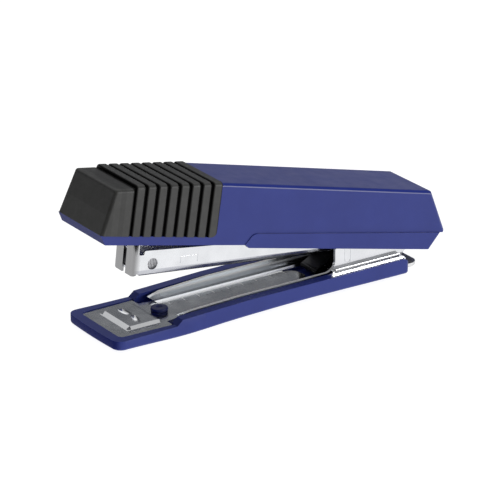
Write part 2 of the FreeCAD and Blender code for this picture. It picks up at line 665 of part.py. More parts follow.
def bracket_rivets():
    """Two small rivets through the bracket's foot, flush under the magazine floor."""
    solids = []
    for y in BRACKET_RIVET_YS:
        shank = rod_z(0.8, BRACKET_RIVET_U, y, MAGAZINE_BOTTOM, FLOOR_TOP + 0.8)
        head = rod_z(1.4, BRACKET_RIVET_U, y, FLOOR_TOP + 0.8, FLOOR_TOP + 1.3)
        solids.append(fuse(shank, head))
    return Part.makeCompound(solids)


def pusher():
    """Block that rides on the rail behind the staples and runs on the rod."""
    rear = PUSHER_FRONT + PUSHER_LENGTH
    section = [(4.6, FLOOR_TOP + 0.25), (4.6, 2.3), (-4.6, 2.3), (-4.6, FLOOR_TOP + 0.25),
               (-RAIL_HALF - 0.1, FLOOR_TOP + 0.25), (-RAIL_HALF - 0.1, RAIL_TOP + 0.1),
               (RAIL_HALF + 0.1, RAIL_TOP + 0.1), (RAIL_HALF + 0.1, FLOOR_TOP + 0.25)]
    saddle = section_prism(section, PUSHER_FRONT, rear)
    saddle = rounded(saddle, 0.5, lambda m, d: m.z > 2.29)
    web = block(rear - 4.0, rear, -0.75, 0.75, -0.3, RAIL_TOP + 0.3)
    lug = block(rear - 4.0, rear, -1.9, 1.9, -2.9, 0.25)
    return fuse(saddle, web, lug).cut(rod_x(ROD_R + 0.08, -70, -40, 0, ROD_W))


def pusher_spring():
    """Envelope of the coil spring between the pusher and the rear bracket."""
    front = PUSHER_FRONT + PUSHER_LENGTH
    return rod_x(1.5, front, BRACKET_U, 0, ROD_W).cut(rod_x(1.1, front - 1, BRACKET_U + 1, 0, ROD_W))


# ---- handle (drawn about the pivot) -------------------------------------------------------------
def half_width(w):
    """Half the cover's width at a height; the sides lean inward toward the top."""
    share = (w - COVER_BOTTOM) / (SECTION_HEIGHT - COVER_BOTTOM)
    return COVER_HALF_BOTTOM + (COVER_HALF_TOP - COVER_HALF_BOTTOM) * share


def leaning_section(inset):
    """Cover cross-section with leaning sides, set in by an inset, open-ended upward and downward."""
    low, high = -12.0, 24.0
    return mirrored([(half_width(high) - inset, high), (half_width(low) - inset, low)])


COVER_PROFILE = [(-103.3, COVER_BOTTOM), (COVER_NOSE, GRIP_BOTTOM), NOSE_TOP, *COVER_TOP_LINE,
                 COVER_TAIL, (15.6, 2.0), (14.4, 2.0), (11.4, SKIRT_BOTTOM), (SKIRT_FRONT, -2.4)]
SKIRT_PROFILE = [(-54.6, SKIRT_BOTTOM), (SKIRT_FRONT, -2.3), (-53.6, 1.0), (15.4, 2.0), (20.0, 2.0),
                 (20.0, SKIRT_BOTTOM)]


def cover_body(profile, inset):
    """Solid between a side outline and the leaning sides."""
    return side_prism(profile, 14).common(section_prism(leaning_section(inset), -120, 30))


def outer_cover():
    """The cover's whole outer form with its long top edges and tail rounded."""
    body = cover_body(COVER_PROFILE, 0)
    return rounded(body, 1.1, lambda m, d: (m.z > 13.5 and abs(m.y) > 9)
                   or (m.x > 8 and m.z > 4))


def cover_hollow():
    """Room inside the cover, in two steps because the nose also makes room for the grip."""
    wall = COVER_WALL
    crest, rear = COVER_TOP_LINE
    rear_room = cover_body([(-64.5, -9), (-64.5, crest[1] - wall), (rear[0] - 0.8, rear[1] - wall),
                            (14.6, 3.6), (10.3, SKIRT_BOTTOM), (6.6, -9)], wall)
    deep = wall + GRIP_WALL
    nose_room = cover_body([(-102.0, -9), (-102.0, 0.6), (-100.5, 10.6), (-64.0, 12.9), (-64.0, -9)], deep)
    return rear_room, nose_room


def grip_seat():
    """The space that the grip may fill: above the cover's lip, outside its core, up to a leaning end."""
    top = 20.0
    zone = side_prism([(COVER_NOSE - 2, GRIP_BOTTOM), (COVER_NOSE - 2, top),
                       (GRIP_END + RIB_LEAN * top, top), (GRIP_END, GRIP_BOTTOM)], 14)
    zone = rounded(zone, 2.0, lambda m, d: along(d, 1) and m.x > GRIP_END - 0.1 and m.z < 0)
    core = cover_body([(COVER_NOSE + GRIP_WALL, -9), (COVER_NOSE + GRIP_WALL, GRIP_BOTTOM),
                       (-101.6, 11.75), (GRIP_END + 1, 14.0), (GRIP_END + 1, -9)], GRIP_WALL)
    return zone.cut(core)


def handle_cover():
    """Moulded shell over the handle."""
    shell = outer_cover()
    for room in cover_hollow():
        shell = shell.cut(room)
    shell = shell.cut(grip_seat())
    skirt_zone = side_prism(SKIRT_PROFILE, 20)
    skirt_zone = rounded(skirt_zone, 2.4, lambda m, d: along(d, 1) and m.x < -53 and m.z > 0)
    shell = shell.cut(skirt_zone)
    for u in POST_US:
        post = rod_z(2.2, u, 0, FRAME_TOP, 14.0)
        shell = shell.fuse(post)
    return shell.removeSplitter()


def cover_skirt():
    """Lower band of the cover: two sides and a rear wall, slightly proud of the shell above it."""
    zone = side_prism(SKIRT_PROFILE, 20)
    zone = rounded(zone, 2.4, lambda m, d: along(d, 1) and m.x < -53 and m.z > 0)
    tail = side_prism([(-60, -9), (-60, 9), (SKIRT_TAIL, 9), (SKIRT_TAIL, 2.0), (11.6, SKIRT_BOTTOM),
                       (8.2, -9)], 20)
    band = zone.common(tail).common(block(-60, 30, -SKIRT_HALF, SKIRT_HALF, -9, 9))
    band = rounded(band, 0.8, lambda m, d: m.x > 12.7 and abs(m.y) > SKIRT_HALF - 0.01 and abs(d.y) < 0.1
                   and abs(d.z) > 2)
    inner = SKIRT_HALF - SKIRT_WALL
    room = side_prism([(-60, -9), (-60, 9), (13.6, 9), (13.6, 2.4), (10.4, SKIRT_BOTTOM), (7, -9)], inner)
    return band.cut(room)


def rib_top(u):
    """Height of the rib crests, rising toward the rear."""
    share = (u - RIB_TOP_FRONT[0]) / (RIB_TOP_REAR[0] - RIB_TOP_FRONT[0])
    return RIB_TOP_FRONT[1] + (RIB_TOP_REAR[1] - RIB_TOP_FRONT[1]) * share


def leaning_slab(front, rear):
    """One rib between two leaning planes given at w = 0, with its outer edges rounded."""
    low = GRIP_BOTTOM
    front_top = rib_top(front)
    rear_top = rib_top(rear)
    slab = cover_body([(front + RIB_LEAN * low, low), (front + RIB_LEAN * front_top, front_top),
                       (rear + RIB_LEAN * rear_top, rear_top), (rear + RIB_LEAN * low, low)], -GRIP_PROUD)
    slab = rounded(slab, 1.2, lambda m, d: m.z > front_top - 0.3 and abs(m.y) > 9)

    def on_rim(middle, direction):
        at_front = abs(middle.x - front - RIB_LEAN * middle.z) < 0.03
        at_rear = abs(middle.x - rear - RIB_LEAN * middle.z) < 0.03
        return (at_front or at_rear) and middle.z > low + 0.2

    return rounded(slab, RIB_EDGE, on_rim)


def grip_cap():
    """Soft ribbed cap over the nose: a plain block in front and a row of ribs behind it."""
    low = GRIP_BOTTOM
    front_end = GROOVE_START - GROOVE_HALF
    lean = RIB_LEAN * NOSE_TOP_REAR[1]
    front = cover_body([(COVER_NOSE, low), NOSE_TOP, (front_end + lean, NOSE_TOP_REAR[1]),
                        (front_end, low)], -GRIP_PROUD)
    front = rounded(front, 1.0, lambda m, d: m.z > low + 0.1 and m.x < front_end + lean / 2 - 0.5)
    floor_drop = 0.95
    core = cover_body([(front_end - 1, low), (front_end - 1, rib_top(front_end) - floor_drop - 0.1),
                       (GRIP_END, rib_top(GRIP_END) - floor_drop), (GRIP_END, low)], GRIP_CORE_INSET)
    cap = front.fuse(core)
    for index in range(RIB_COUNT):
        start = GROOVE_START + index * RIB_PITCH
        end = start + RIB_PITCH - GROOVE_HALF if index < RIB_COUNT - 1 else GRIP_END
        cap = cap.fuse(leaning_slab(start + GROOVE_HALF, end))
    return cap.common(grip_seat()).removeSplitter()


def handle_frame():
    """Folded steel channel that carries the cover, the driver and the leaf, with arms to the pin."""
    sheet = FRAME_SHEET
    top = FRAME_TOP
    outer = section_prism([(FRAME_HALF, -12), (FRAME_HALF, top - 1.2), (FRAME_HALF - 1.2, top),
                           (-FRAME_HALF + 1.2, top), (-FRAME_HALF, top - 1.2), (-FRAME_HALF, -12)],
                          FRAME_FRONT, 12)
    inner_half = FRAME_HALF - sheet
    inner = section_prism([(inner_half, -13), (inner_half, top - sheet - 0.9),
                           (inner_half - 0.9, top - sheet), (-inner_half + 0.9, top - sheet),
                           (-inner_half, top - sheet - 0.9), (-inner_half, -13)], -90, 13)
    outline = side_prism([(FRAME_FRONT, top + 1), (FRAME_FRONT, 6.4), (-36, 6.4), (-26, -2.4), (-22, -3.6),
                          (0, -3.6), (4.2, -1.6), (4.2, 6), (1.0, top + 1)], 20)
    outline = rounded(outline, 2.5, lambda m, d: along(d, 1) and m.x > -30 and m.z < 7)
    frame = outer.cut(inner).common(outline)
    frame = frame.cut(rod_y(PIN_R + PIN_CLEARANCE, 0, 0, -20, 20))
    for u, y in FRAME_RIVETS:
        frame = frame.cut(rod_z(0.9, u, y, 5, 20))
    return frame.removeSplitter()


def driver_blade():
    """Driver: a thin plate curved about the pivot, so that it slides in its slot without rubbing."""
    outer_r = DRIVE_RADIUS + BLADE_SHEET / 2
    inner_r = DRIVE_RADIUS - BLADE_SHEET / 2
    half = STAPLE_WIDTH / 2 - 0.1
    top = FRAME_TOP - FRAME_SHEET
    low = -5.5
    ring = rod_y(outer_r, 0, 0, -half, half).cut(rod_y(inner_r, 0, 0, -half - 1, half + 1))
    blade = ring.common(block(-90, -80, -half, half, low, top))
    tab = block(-86.7, -79.5, -half, half, top - BLADE_SHEET, top)
    driver = fuse(blade, tab)
    for u, y in FRAME_RIVETS[:2]:
        driver = driver.cut(rod_z(0.9, u, y, 5, 20))
    return driver


def frame_rivets():
    """Three rivets: two for the driver's tab and one for the return leaf."""
    solids = []
    for u, y in FRAME_RIVETS:
        low = FRAME_TOP - FRAME_SHEET - BLADE_SHEET
        shank = rod_z(0.9, u, y, low, FRAME_TOP)
        upper = rod_z(1.6, u, y, FRAME_TOP, FRAME_TOP + 0.6)
        under = rod_z(1.6, u, y, low - 0.5, low)
        solids.append(fuse(shank, upper, under))
    return Part.makeCompound(solids)


def return_leaf():
    """Leaf under the frame that pushes the handle up off the magazine's rear bracket."""
    top = FRAME_TOP - FRAME_SHEET
    sheet = BLADE_SHEET
    line = [(-54, top), (-45, top), (-30, 6.6), (-14.5, 1.9), (-12.0, 2.1)]
    under = [(u, w - sheet) for u, w in reversed(line)]
    leaf = side_prism(line + under, 3.0)
    return leaf.cut(rod_z(0.9, FRAME_RIVETS[2][0], 0, 0, 20))


# ---- assembly -----------------------------------------------------------------------------------
def level(shape):
    """Base pieces are already drawn in place."""
    return shape


def in_magazine(shape):
    """Magazine pieces take the magazine's pitch."""
    return pitched(shape, MAGAZINE_PITCH)


def in_handle(shape):
    """Handle pieces take the handle's pitch."""
    return pitched(shape, HANDLE_PITCH)


PIECES = [
    (base_shoe, level), (base_plate, level), (anvil_plate, level), (shoe_stud, level),
    (staple_remover, level), (base_rivets, level), (lift_spring, level), (pivot_pin, level),
    (pivot_spacers, level),
    (magazine_channel, in_magazine), (staple_rail, in_magazine), (staple_strip, in_magazine),
    (guide_rod, in_magazine), (rod_bracket, in_magazine), (bracket_rivets, in_magazine),
    (pusher, in_magazine), (pusher_spring, in_magazine),
    (handle_cover, in_handle), (cover_skirt, in_handle), (grip_cap, in_handle),
    (handle_frame, in_handle), (driver_blade, in_handle), (frame_rivets, in_handle),
    (return_leaf, in_handle),
]


def main():
    """Writes each piece to its own STEP file, with the origin under the middle of the sole."""
    os.makedirs("parts", exist_ok=True)
    to_origin = Vector(-SHOE_LENGTH / 2, 0, SOLE_DROP)
    for make, place in PIECES:
        shape = place(make())
        shape.translate(to_origin)
        shape.exportStep("parts/" + make.__name__ + ".step")


main()
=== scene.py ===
"""Looks for the desk stapler: materials, fine pieces, floor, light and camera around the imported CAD."""
import json
import math

import bmesh
import bpy
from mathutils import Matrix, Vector


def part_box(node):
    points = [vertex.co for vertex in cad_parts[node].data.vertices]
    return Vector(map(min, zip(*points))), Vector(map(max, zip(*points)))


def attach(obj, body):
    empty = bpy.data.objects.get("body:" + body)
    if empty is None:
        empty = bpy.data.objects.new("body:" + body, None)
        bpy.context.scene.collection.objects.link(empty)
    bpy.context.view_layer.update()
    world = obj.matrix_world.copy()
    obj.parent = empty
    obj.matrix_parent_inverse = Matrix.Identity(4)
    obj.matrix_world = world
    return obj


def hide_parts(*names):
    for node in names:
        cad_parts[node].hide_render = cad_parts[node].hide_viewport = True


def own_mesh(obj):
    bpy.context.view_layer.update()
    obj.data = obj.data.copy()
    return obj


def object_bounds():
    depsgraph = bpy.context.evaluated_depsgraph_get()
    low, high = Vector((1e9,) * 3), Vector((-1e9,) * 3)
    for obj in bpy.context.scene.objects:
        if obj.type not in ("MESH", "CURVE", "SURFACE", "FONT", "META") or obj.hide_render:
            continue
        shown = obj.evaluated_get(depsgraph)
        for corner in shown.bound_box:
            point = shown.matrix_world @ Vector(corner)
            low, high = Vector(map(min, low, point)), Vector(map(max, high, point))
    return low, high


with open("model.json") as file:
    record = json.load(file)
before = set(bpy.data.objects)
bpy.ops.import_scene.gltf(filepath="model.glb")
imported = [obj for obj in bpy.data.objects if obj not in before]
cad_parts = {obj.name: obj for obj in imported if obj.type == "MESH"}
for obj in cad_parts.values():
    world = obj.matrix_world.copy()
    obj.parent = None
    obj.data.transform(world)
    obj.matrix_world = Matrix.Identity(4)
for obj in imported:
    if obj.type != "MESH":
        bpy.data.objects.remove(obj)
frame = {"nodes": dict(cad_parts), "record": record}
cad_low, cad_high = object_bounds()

MM = 0.001
NODES = frame["nodes"]

# The pin that the magazine and the handle turn on, and how far each leans back at rest.
PIVOT = Vector((0.0486, 0.0, 0.01191))
MAGAZINE_PITCH = math.radians(6.6)
HANDLE_PITCH = math.radians(13.1)

# Places in millimetres from the pivot: u runs rearward and w upward in a body's own leaning frame.
PRONG_BEND_U = (-88.4, -86.7)
CREASE_W = (-2.38, -2.28)
STAPLE_PITCH = 0.51
RIB_PITCH = 3.68
FIRST_GROOVE_U = -95.55
RIB_LEAN = -0.04

# Places on the steel base in metres. A band of four fades in over the first two and out over the last.
FIRST_TICK_X = -0.02279
TICK_PITCH = 0.005
TICK_COUNT = 9
TICK_REACH_Y = (0.0024, 0.0026, 0.0042, 0.0044)
FLANGE_SIDE_X = (-0.030, -0.022, 0.014, 0.021)
FLANGE_SIDE_Y = (0.0052, 0.0070, 0.0096, 0.0098)
FLANGE_OUTSIDE_Y = (0.0097, 0.0099)
FLANGE_TOP_Z = (0.0045, 0.0050)

# Parts of a surface's direction, each from -1 to 1.
TURNED_TO_NOSE = (-0.86, -0.45)
TURNED_SIDEWAYS = (-0.35, -0.27, 0.27, 0.35)
# The next two bands place the painted edge highlight and the painted shade on the fillet crests above it.
EDGE_HIGHLIGHT_BAND = (0.13, 0.22, 0.30, 0.42)
EDGE_CREST = (0.36, 0.50, 0.86, 0.95)
TURNED_UPWARD = (0.45, 0.65)

# Painted shade on the plastic faces turned to the nose.
NOSE_SHADE_BLUE = (0.012, 0.018, 0.125)
# Painted highlight along the cover's upper side edges.
EDGE_HIGHLIGHT_BLUE = (0.16, 0.17, 0.32)
# Painted shade in the grip's grooves.
GROOVE_SHADE_BLACK = (0.003, 0.003, 0.003)
# Painted shade on the magazine's sides below the crease.
LOW_SIDE_SHADE_GREY = (0.56, 0.57, 0.61)
# Painted shade on the magazine's prongs.
PRONG_SHADE_GREY = (0.27, 0.27, 0.275)
# Painted reflection on the sides of the base's flanges.
FLANGE_REFLECTION_WHITE = (0.78, 0.84, 0.88)
# The real pale ticks on the channel floor, and a painted highlight on the flange tops' cut edges.
TICK_AND_HIGHLIGHT_WHITE = (0.92, 0.92, 0.91)


# ---- material helpers ---------------------------------------------------------------------------
def new_material(name):
    """An empty node material with its output and a principled shader."""
    material = bpy.data.materials.new(name)
    material.use_nodes = True
    tree = material.node_tree
    tree.nodes.clear()
    shader = tree.nodes.new("ShaderNodeBsdfPrincipled")
    output = tree.nodes.new("ShaderNodeOutputMaterial")
    tree.links.new(shader.outputs["BSDF"], output.inputs["Surface"])
    return material, tree, shader


def place_on(tree):
    """Coordinates in the stapler's own frame, in metres."""
    return tree.nodes.new("ShaderNodeTexCoord").outputs["Object"]


def stretched(tree, coordinates, scale):
    """Coordinates scaled separately along each axis."""
    mapping = tree.nodes.new("ShaderNodeMapping")
    mapping.inputs["Scale"].default_value = scale
    tree.links.new(coordinates, mapping.inputs["Vector"])
    return mapping.outputs["Vector"]


def noise(tree, coordinates, scale, detail=4.0, roughness=0.55):
    """Fractal noise value from 0 to 1."""
    node = tree.nodes.new("ShaderNodeTexNoise")
    node.inputs["Scale"].default_value = scale
    node.inputs["Detail"].default_value = detail
    node.inputs["Roughness"].default_value = roughness
    tree.links.new(coordinates, node.inputs["Vector"])
    return node.outputs["Fac"]


def spread(tree, value, low, high, start=0.3, end=0.7):
    """A value mapped from start...end onto low...high, and held outside."""
    node = tree.nodes.new("ShaderNodeMapRange")
    node.inputs["From Min"].default_value = start
    node.inputs["From Max"].default_value = end
    node.inputs["To Min"].default_value = low
    node.inputs["To Max"].default_value = high
    tree.links.new(value, node.inputs["Value"])
    return node.outputs["Result"]


def shaded(tree, value, dark, light, start=0.3, end=0.7):
    """A colour between dark and light by a value."""
    ramp = tree.nodes.new("ShaderNodeValToRGB")
    ramp.color_ramp.elements[0].position = start
    ramp.color_ramp.elements[0].color = (*dark, 1.0)
    ramp.color_ramp.elements[1].position = end
    ramp.color_ramp.elements[1].color = (*light, 1.0)
    tree.links.new(value, ramp.inputs["Fac"])
    return ramp.outputs["Color"]


def bumped(tree, shader, height, distance, strength=1.0, under=None):
    """Adds a height to the shader's normal, on top of an earlier bump if one is given."""
    node = tree.nodes.new("ShaderNodeBump")
    node.inputs["Strength"].default_value = strength
    node.inputs["Distance"].default_value = distance
    tree.links.new(height, node.inputs["Height"])
    if under is not None:
        tree.links.new(under, node.inputs["Normal"])
    tree.links.new(node.outputs["Normal"], shader.inputs["Normal"])
    return node.outputs["Normal"]


def across(tree, coordinates, pitch, rearward):
    """Distance from the pivot along a pitched frame's u axis (rearward) or w axis, in millimetres."""
    from_pivot = tree.nodes.new("ShaderNodeVectorMath")
    from_pivot.operation = "SUBTRACT"
    from_pivot.inputs[1].default_value = PIVOT
    tree.links.new(coordinates, from_pivot.inputs[0])
    along = tree.nodes.new("ShaderNodeVectorMath")
    along.operation = "DOT_PRODUCT"
    direction = ((math.cos(pitch), 0, -math.sin(pitch)) if rearward
                 else (math.sin(pitch), 0, math.cos(pitch)))
    along.inputs[1].default_value = [part / MM for part in direction]
    tree.links.new(from_pivot.outputs["Vector"], along.inputs[0])
    return along.outputs["Value"]


def combined(tree, operation, first, second):
    """One math operation on two values or sockets."""
    node = tree.nodes.new("ShaderNodeMath")
    node.operation = operation
    for socket, value in zip(node.inputs, (first, second)):
        if isinstance(value, (int, float)):
            socket.default_value = value
        else:
            tree.links.new(value, socket)
    return node.outputs["Value"]


def mixed(tree, share, first, second):
    """A colour between two by a share; either may be a socket or a plain colour."""
    node = tree.nodes.new("ShaderNodeMix")
    node.data_type = "RGBA"
    tree.links.new(share, node.inputs["Factor"])
    for name, value in (("A", first), ("B", second)):
        socket = next(i for i in node.inputs if i.name == name and i.type == "RGBA")
        if isinstance(value, tuple):
            socket.default_value = (*value, 1.0)
        else:
            tree.links.new(value, socket)
    return next(o for o in node.outputs if o.type == "RGBA")


def faded(tree, value, band):
    """0 before a band of two values and 1 after it."""
    return spread(tree, value, 0.0, 1.0, *band)


def window(tree, value, band):
    """1 inside a band of four values, fading to 0 over its first pair and its last pair."""
    start, full, fading, end = band
    return combined(tree, "MINIMUM", spread(tree, value, 0.0, 1.0, start, full),
                    spread(tree, value, 1.0, 0.0, fading, end))


def facing(tree):
    """The three parts of the surface's direction in the piece's own frame."""
    split = tree.nodes.new("ShaderNodeSeparateXYZ")
    tree.links.new(tree.nodes.new("ShaderNodeTexCoord").outputs["Normal"], split.inputs["Vector"])
    return split.outputs


def reopened(material):
    """The node tree and the shader of a finished material, to work on further."""
    tree = material.node_tree
    return tree, next(node for node in tree.nodes if node.type == "BSDF_PRINCIPLED")


# ---- materials ----------------------------------------------------------------------------------
def moulded_plastic(name, dark, light, gloss_low, gloss_high, highlight_colour=None):
    """Blue moulded ABS, mottled and satin, with painted shade where it faces the nose; given an edge
    colour, a painted highlight on its upper side edges.
    """
    material, tree, shader = new_material(name)
    place = place_on(tree)
    toward = facing(tree)
    # Painted shade: faces turned toward the nose take a deeper blue and less sheen, as if out of the
    # light.
    clear_of_nose_shade = faded(tree, toward["X"], TURNED_TO_NOSE)
    colour = shaded(tree, noise(tree, place, 90.0), dark, light)
    colour = mixed(tree, clear_of_nose_shade, NOSE_SHADE_BLUE, colour)
    sheen = spread(tree, clear_of_nose_shade, 0.03, 0.30, 0.0, 1.0)
    if highlight_colour is not None:
        # Painted highlight: a paler blue low on the fillets of the upper side edges; painted shade:
        # almost no sheen higher up on these fillets.
        sideways = window(tree, toward["X"], TURNED_SIDEWAYS)
        edge_highlight = combined(tree, "MULTIPLY", sideways, window(tree, toward["Z"], EDGE_HIGHLIGHT_BAND))
        crest = combined(tree, "MULTIPLY", sideways, window(tree, toward["Z"], EDGE_CREST))
        colour = mixed(tree, edge_highlight, colour, highlight_colour)
        sheen = combined(tree, "MULTIPLY", sheen, spread(tree, crest, 1.0, 0.1, 0.0, 1.0))
    tree.links.new(colour, shader.inputs["Base Color"])
    tree.links.new(sheen, shader.inputs["Specular IOR Level"])
    tree.links.new(spread(tree, noise(tree, place, 260.0), gloss_low, gloss_high),
                   shader.inputs["Roughness"])
    shader.inputs["IOR"].default_value = 1.5
    waviness = bumped(tree, shader, noise(tree, place, 140.0, 1.0), 0.00006, 0.25)
    bumped(tree, shader, noise(tree, place, 5200.0, 3.0), 0.00001, 0.35, waviness)
    return material


def on_the_ribs(tree, place):
    """0 in the grooves between the grip's ribs, where painted shade falls, 1 on the ribs, a little less
    on the block in front.
    """
    u = across(tree, place, HANDLE_PITCH, True)
    lean = combined(tree, "MULTIPLY", across(tree, place, HANDLE_PITCH, False), RIB_LEAN)
    from_first = combined(tree, "SUBTRACT", combined(tree, "SUBTRACT", u, lean), FIRST_GROOVE_U)
    steps = combined(tree, "DIVIDE", from_first, RIB_PITCH)
    ribs = spread(tree, combined(tree, "PINGPONG", steps, 0.5), 0.0, 1.0, 0.13, 0.23)
    block = spread(tree, steps, 0.85, 0.0, -0.30, -0.18)
    return combined(tree, "MAXIMUM", ribs, block)


def grip_rubber():
    """Near-black soft moulding: half matt, with a fine eroded texture; painted shade makes its grooves
    black and takes away their sheen.
    """
    material, tree, shader = new_material("grip_rubber")
    place = place_on(tree)
    skin = shaded(tree, noise(tree, place, 420.0), (0.021, 0.021, 0.020), (0.030, 0.030, 0.029))
    ribs = on_the_ribs(tree, place)
    # Painted shade: the grooves between the ribs turn black and lose their sheen.
    tree.links.new(mixed(tree, ribs, GROOVE_SHADE_BLACK, skin), shader.inputs["Base Color"])
    tree.links.new(spread(tree, noise(tree, place, 900.0), 0.40, 0.50), shader.inputs["Roughness"])
    tree.links.new(spread(tree, ribs, 0.10, 0.48, 0.0, 1.0), shader.inputs["Specular IOR Level"])
    grain = bumped(tree, shader, noise(tree, place, 3600.0, 5.0), 0.00003, 0.45)
    bumped(tree, shader, noise(tree, place, 700.0, 2.0), 0.00005, 0.2, grain)
    return material


def sheet_steel(name, dark, light, gloss_low, gloss_high, grain=(60.0, 2600.0, 2600.0), depth=0.000004):
    """Rolled and plated sheet: fine lines along its length under a plating of uneven gloss."""
    material, tree, shader = new_material(name)
    place = place_on(tree)
    lines = noise(tree, stretched(tree, place, grain), 1.0, 3.0)
    clouds = noise(tree, place, 160.0, 5.0)
    tree.links.new(shaded(tree, clouds, dark, light), shader.inputs["Base Color"])
    tree.links.new(spread(tree, clouds, gloss_low, gloss_high), shader.inputs["Roughness"])
    shader.inputs["Metallic"].default_value = 1.0
    bumped(tree, shader, lines, depth, 0.6)
    return material


def ruled_ticks(tree, x, y):
    """1 on the pale ticks across the channel floor."""
    steps = combined(tree, "DIVIDE", combined(tree, "SUBTRACT", x, FIRST_TICK_X), TICK_PITCH)
    line = spread(tree, combined(tree, "PINGPONG", steps, 0.5), 1.0, 0.0, 0.02, 0.045)
    scale = window(tree, steps, (-0.3, -0.2, TICK_COUNT - 0.8, TICK_COUNT - 0.7))
    reach = window(tree, y, TICK_REACH_Y)
    return combined(tree, "MULTIPLY", line, combined(tree, "MULTIPLY", scale, reach))


def flange_edges(tree, outward, z):
    """1 on the cut edges along the tops of the base's flanges, where the painted highlight goes."""
    upward = faded(tree, facing(tree)["Z"], TURNED_UPWARD)
    high_up = faded(tree, z, FLANGE_TOP_Z)
    inboard = spread(tree, outward, 1.0, 0.0, *FLANGE_OUTSIDE_Y)
    return combined(tree, "MULTIPLY", upward, combined(tree, "MULTIPLY", high_up, inboard))


def base_steel():
    """Nickel-plated base with pale ticks on its floor; a painted reflection turns the flange sides
    whitish and a painted highlight runs along the flange tops' cut edges.
    """
    material = sheet_steel("plate_steel", (0.68, 0.69, 0.71), (0.75, 0.76, 0.78), 0.14, 0.20)
    tree, shader = reopened(material)
    plated = shader.inputs["Base Color"].links[0].from_socket
    gloss = shader.inputs["Roughness"].links[0].from_socket
    split = tree.nodes.new("ShaderNodeSeparateXYZ")
    tree.links.new(place_on(tree), split.inputs["Vector"])
    x, y, z = (split.outputs[name] for name in ("X", "Y", "Z"))
    outward = combined(tree, "ABSOLUTE", y, 0.0)
    # The real ticks, and a painted highlight along the flange tops' cut edges, both pale and matt.
    pale = combined(tree, "MAXIMUM", ruled_ticks(tree, x, y), flange_edges(tree, outward, z))
    # Painted reflection: the flange sides turn whitish, rougher and less metallic, standing in for the
    # bright reflection they show.
    side = combined(tree, "MULTIPLY", window(tree, outward, FLANGE_SIDE_Y),
                    window(tree, x, FLANGE_SIDE_X))
    flanges = mixed(tree, side, plated, FLANGE_REFLECTION_WHITE)
    tree.links.new(mixed(tree, pale, flanges, TICK_AND_HIGHLIGHT_WHITE), shader.inputs["Base Color"])
    matt = combined(tree, "MAXIMUM", spread(tree, pale, 0.0, 0.55, 0.0, 1.0),
                    spread(tree, side, 0.0, 0.32, 0.0, 1.0))
    tree.links.new(combined(tree, "MAXIMUM", gloss, matt), shader.inputs["Roughness"])
    metal = combined(tree, "MINIMUM", spread(tree, pale, 1.0, 0.0, 0.0, 1.0),
                     spread(tree, side, 1.0, 0.45, 0.0, 1.0))
    tree.links.new(metal, shader.inputs["Metallic"])
    return material


def strip_wire():
    """Glued staple strip: galvanised wires side by side, each a rounded ridge."""
    material = sheet_steel("staple_wire", (0.42, 0.42, 0.44), (0.52, 0.52, 0.54), 0.22, 0.32)
    tree, shader = reopened(material)
    turns = combined(tree, "MULTIPLY", across(tree, place_on(tree), MAGAZINE_PITCH, True),
                     2 * math.pi / STAPLE_PITCH)
    ridge = combined(tree, "SINE", turns, 0.0)
    bumped(tree, shader, spread(tree, ridge, 0.0, 1.0, -1.0, 1.0), 0.00012, 1.0)
    return material


def magazine_steel():
    """Chromed magazine, with painted shade on the prongs at its nose and below the crease along its
    sides.
    """
    material = sheet_steel("bright_steel", (0.66, 0.67, 0.69), (0.76, 0.77, 0.79), 0.12, 0.20,
                           (40.0, 900.0, 900.0), 0.000003)
    tree, shader = reopened(material)
    plated = shader.inputs["Base Color"].links[0].from_socket
    place = place_on(tree)
    # Painted shade: the sides below the crease and the prongs take a darker grey.
    above_crease = faded(tree, across(tree, place, MAGAZINE_PITCH, False), CREASE_W)
    sides = mixed(tree, above_crease, LOW_SIDE_SHADE_GREY, plated)
    behind_prongs = faded(tree, across(tree, place, MAGAZINE_PITCH, True), PRONG_BEND_U)
    tree.links.new(mixed(tree, behind_prongs, PRONG_SHADE_GREY, sides), shader.inputs["Base Color"])
    return material


SOFT_EDGES = {"base_shoe": 0.35, "handle_cover": 0.22, "cover_skirt": 0.22, "shoe_stud": 0.15,
              "base_plate": 0.16, "magazine_channel": 0.12, "anvil_plate": 0.12, "staple_remover": 0.15}
SHARP_FROM = math.radians(32)
WELD_WITHIN = 0.001


def soften_edges():
    """Small rounds on the edges that catch the light, as moulding and blanking leave them."""
    for name, width in SOFT_EDGES.items():
        node = NODES[name]
        weld = node.modifiers.new("weld", "WELD")
        weld.merge_threshold = WELD_WITHIN * MM
        bevel = node.modifiers.new("bevel", "BEVEL")
        bevel.limit_method = "ANGLE"
        bevel.angle_limit = SHARP_FROM
        bevel.width = width * MM
        bevel.segments = 2
        bevel.use_clamp_overlap = True


OWN_FINISH = {"shoe_stud": "stud_plastic", "staple_remover": "tongue_steel"}


